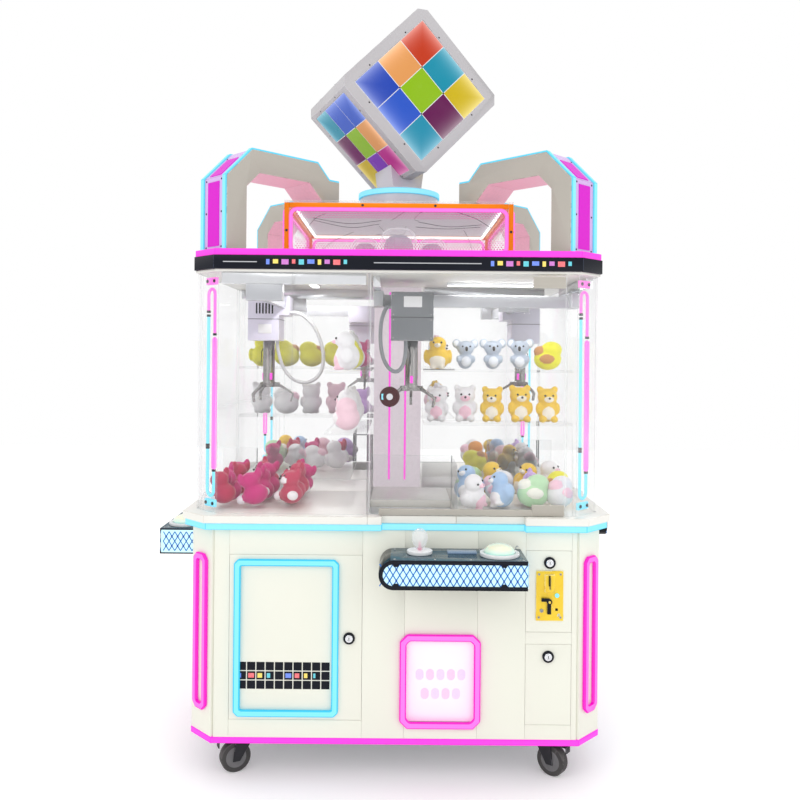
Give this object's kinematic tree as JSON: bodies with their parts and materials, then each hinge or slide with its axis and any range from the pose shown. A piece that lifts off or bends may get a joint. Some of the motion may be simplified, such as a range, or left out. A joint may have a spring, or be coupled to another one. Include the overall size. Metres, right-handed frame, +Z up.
{
  "type": "prize crane machine",
  "caption": "Octagonal arcade prize crane cabinet on casters: glass bays with claws, side control panels, doors and flap, lit roof box, arches and a turning tiled cube.",
  "frame": {"origin": "centre of the footprint on the floor", "axes": "+Z up, the front station faces -Y, +X to the right of a player standing there"},
  "size_m": [1.692, 1.692, 2.7092],
  "materials": {
    "ivory_laminate": "warm white gloss laminate",
    "deck_board": "beige lacquered board",
    "steel_plate": "dark steel",
    "tread_rubber": "black tread",
    "pink_light": "lit pink silicone tube",
    "cyan_light": "lit cyan silicone tube",
    "black_gloss": "black gloss moulding",
    "lit_mesh": "backlit diamond mesh",
    "white_plastic": "white moulding",
    "crystal": "clear faceted plastic",
    "clear_sheet": "clear sheet",
    "gold_plate": "yellow gold plate",
    "crane_grey": "grey painted steel",
    "bright_metal": "chrome",
    "grey_hose": "grey corrugated hose",
    "orange_paint": "orange frame",
    "printed_clear": "clear panel with pink dots",
    "lilac_grey": "light grey lacquer",
    "colour_tiles": "backlit colour tiles",
    "plush": "short pile plush"
  },
  "bodies": {
    "cabinet": {"base_frame": "steel_plate", "cabinet_panels": "ivory_laminate", "deck": "deck_board", "pink_led_strips": "pink_light", "cyan_led_strips": "cyan_light", "neon_loops": "pink_light", "side_doors": "ivory_laminate", "prize_bins": "white_plastic", "cabinet_internals": "crane_grey", "panel_housings": "black_gloss", "panel_grilles": "lit_mesh", "panel_fittings": "white_plastic", "fixed_glass": "clear_sheet", "core_column": "white_plastic", "bay_partitions": "clear_sheet", "prize_shelves": "clear_sheet", "prize_chutes": "clear_sheet", "corner_neon_tubes": "pink_light", "gantry_rails": "bright_metal", "header": "deck_board", "header_fascia": "black_gloss", "light_box_frame": "orange_paint", "light_box_panels": "printed_clear", "roof_arches": "lilac_grey", "turntable_housing": "lilac_grey", "plush_toys": "plush"},
    "caster_fl": {"caster_fork_fl": "steel_plate"},
    "wheel_fl": {"caster_wheel_fl": "tread_rubber"},
    "caster_fr": {"caster_fork_fr": "steel_plate"},
    "wheel_fr": {"caster_wheel_fr": "tread_rubber"},
    "caster_rl": {"caster_fork_rl": "steel_plate"},
    "wheel_rl": {"caster_wheel_rl": "tread_rubber"},
    "caster_rr": {"caster_fork_rr": "steel_plate"},
    "wheel_rr": {"caster_wheel_rr": "tread_rubber"},
    "service_door": {"service_door": "ivory_laminate"},
    "prize_flap": {"prize_flap": "white_plastic"},
    "coin_door": {"coin_door": "ivory_laminate", "coin_plate": "gold_plate"},
    "return_lever": {"return_lever": "black_gloss"},
    "cash_door": {"cash_door": "ivory_laminate"},
    "glass_door": {"glass_door": "clear_sheet", "glass_door_fittings": "deck_board"},
    "joystick_gimbal": {"joystick_gimbal": "steel_plate"},
    "joystick_stick": {"joystick_stick": "crystal"},
    "dome_button": {"dome_button": "white_plastic"},
    "bridge": {"bridge": "crane_grey"},
    "trolley": {"trolley": "crane_grey", "hose_front": "grey_hose"},
    "claw": {"claw_body": "bright_metal"},
    "finger_a": {"claw_finger_a": "bright_metal"},
    "finger_b": {"claw_finger_b": "bright_metal"},
    "finger_c": {"claw_finger_c": "bright_metal"},
    "crane_left": {"crane_left": "crane_grey", "hose_left": "grey_hose"},
    "crane_right": {"crane_right": "crane_grey"},
    "crane_rear": {"crane_rear": "crane_grey"},
    "cube": {"turntable_disc": "lilac_grey", "cube_frame": "lilac_grey", "cube_tiles": "colour_tiles"}
  },
  "joints": [
    {"name": "caster_swivel_fl", "type": "hinge", "parent": "cabinet", "child": "caster_fl", "pos_m": [-0.5, -0.59, 0.11], "axis": [0, 0, 1], "continuous": true},
    {"name": "wheel_roll_fl", "type": "hinge", "parent": "caster_fl", "child": "wheel_fl", "pos_m": [-0.53172, -0.60479, 0.05], "axis": [0.4226, -0.9063, 0], "continuous": true},
    {"name": "caster_swivel_fr", "type": "hinge", "parent": "cabinet", "child": "caster_fr", "pos_m": [0.5, -0.59, 0.11], "axis": [0, 0, 1], "continuous": true},
    {"name": "wheel_roll_fr", "type": "hinge", "parent": "caster_fr", "child": "wheel_fr", "pos_m": [0.52681, -0.6125, 0.05], "axis": [0.6428, 0.766, 0], "continuous": true},
    {"name": "caster_swivel_rl", "type": "hinge", "parent": "cabinet", "child": "caster_rl", "pos_m": [-0.5, 0.59, 0.11], "axis": [0, 0, 1], "continuous": true},
    {"name": "wheel_roll_rl", "type": "hinge", "parent": "caster_rl", "child": "wheel_rl", "pos_m": [-0.53031, 0.6075, 0.05], "axis": [-0.5, -0.866, 0], "continuous": true},
    {"name": "caster_swivel_rr", "type": "hinge", "parent": "cabinet", "child": "caster_rr", "pos_m": [0.5, 0.59, 0.11], "axis": [0, 0, 1], "continuous": true},
    {"name": "wheel_roll_rr", "type": "hinge", "parent": "caster_rr", "child": "wheel_rr", "pos_m": [0.52867, 0.61008, 0.05], "axis": [-0.5736, 0.8192, 0], "continuous": true},
    {"name": "service_door_hinge", "type": "hinge", "parent": "cabinet", "child": "service_door", "pos_m": [-0.5406, -0.681, 0.47], "axis": [0, 0, -1], "range_deg": [0, 110]},
    {"name": "prize_flap_hinge", "type": "hinge", "parent": "cabinet", "child": "prize_flap", "pos_m": [0.1485, -0.668, 0.4712], "axis": [1, 0, 0], "range_deg": [0, 60]},
    {"name": "coin_door_hinge", "type": "hinge", "parent": "cabinet", "child": "coin_door", "pos_m": [0.5726, -0.681, 0.6275], "axis": [0, 0, 1], "range_deg": [0, 100]},
    {"name": "return_lever_pivot", "type": "hinge", "parent": "coin_door", "child": "return_lever", "pos_m": [0.499, -0.6852, 0.596], "axis": [0, 1, 0], "range_deg": [0, 20], "stiffness_Nm_per_rad": 0.05, "springref_deg": -28.65},
    {"name": "cash_door_hinge", "type": "hinge", "parent": "cabinet", "child": "cash_door", "pos_m": [0.5726, -0.681, 0.3245], "axis": [0, 0, 1], "range_deg": [0, 100]},
    {"name": "glass_door_hinge", "type": "hinge", "parent": "cabinet", "child": "glass_door", "pos_m": [0.5492, -0.676, 1.265], "axis": [0, 0, 1], "range_deg": [0, 95]},
    {"name": "joystick_tilt_y", "type": "hinge", "parent": "cabinet", "child": "joystick_gimbal", "pos_m": [0.075, -0.751, 0.735], "axis": [1, 0, 0], "range_deg": [-15, 15], "stiffness_Nm_per_rad": 1.2},
    {"name": "joystick_tilt_x", "type": "hinge", "parent": "joystick_gimbal", "child": "joystick_stick", "pos_m": [0.075, -0.751, 0.735], "axis": [0, 1, 0], "range_deg": [-15, 15], "stiffness_Nm_per_rad": 1.2},
    {"name": "dome_button_press", "type": "slide", "parent": "cabinet", "child": "dome_button", "axis": [0, 0, -1], "range_m": [0, 0.005], "stiffness_N_per_m": 900, "springref_m": -0.006},
    {"name": "bridge_travel", "type": "slide", "parent": "cabinet", "child": "bridge", "axis": [0, 1, 0], "range_m": [-0.13, 0.04]},
    {"name": "trolley_travel", "type": "slide", "parent": "bridge", "child": "trolley", "axis": [1, 0, 0], "range_m": [0, 0.45]},
    {"name": "claw_hoist", "type": "slide", "parent": "trolley", "child": "claw", "axis": [0, 0, 1], "range_m": [-0.14, 0]},
    {"name": "finger_a_pivot", "type": "hinge", "parent": "claw", "child": "finger_a", "pos_m": [0.05, -0.364, 1.2734], "axis": [-1, 0, 0], "range_deg": [0, 25], "stiffness_Nm_per_rad": 0.8, "springref_deg": -17.19},
    {"name": "finger_b_pivot", "type": "hinge", "parent": "claw", "child": "finger_b", "pos_m": [0.01882, -0.418, 1.2734], "axis": [0.5, -0.866, 0], "range_deg": [0, 25]},
    {"name": "finger_c_pivot", "type": "hinge", "parent": "claw", "child": "finger_c", "pos_m": [0.08118, -0.418, 1.2734], "axis": [0.5, 0.866, 0], "range_deg": [0, 25]},
    {"name": "crane_left_travel", "type": "slide", "parent": "cabinet", "child": "crane_left", "axis": [1, 0, 0], "range_m": [-0.05, 0.03]},
    {"name": "crane_right_travel", "type": "slide", "parent": "cabinet", "child": "crane_right", "axis": [-1, 0, 0], "range_m": [-0.03, 0.15]},
    {"name": "crane_rear_travel", "type": "slide", "parent": "cabinet", "child": "crane_rear", "axis": [0, -1, 0], "range_m": [-0.05, 0.15]},
    {"name": "cube_turn", "type": "hinge", "parent": "cabinet", "child": "cube", "pos_m": [0, 0, 2.05], "axis": [0, 0, 1], "continuous": true}
  ],
  "couplings": [
    {"joint": "finger_b_pivot", "follows": "finger_a_pivot", "ratio": 1},
    {"joint": "finger_c_pivot", "follows": "finger_a_pivot", "ratio": 1}
  ]
}
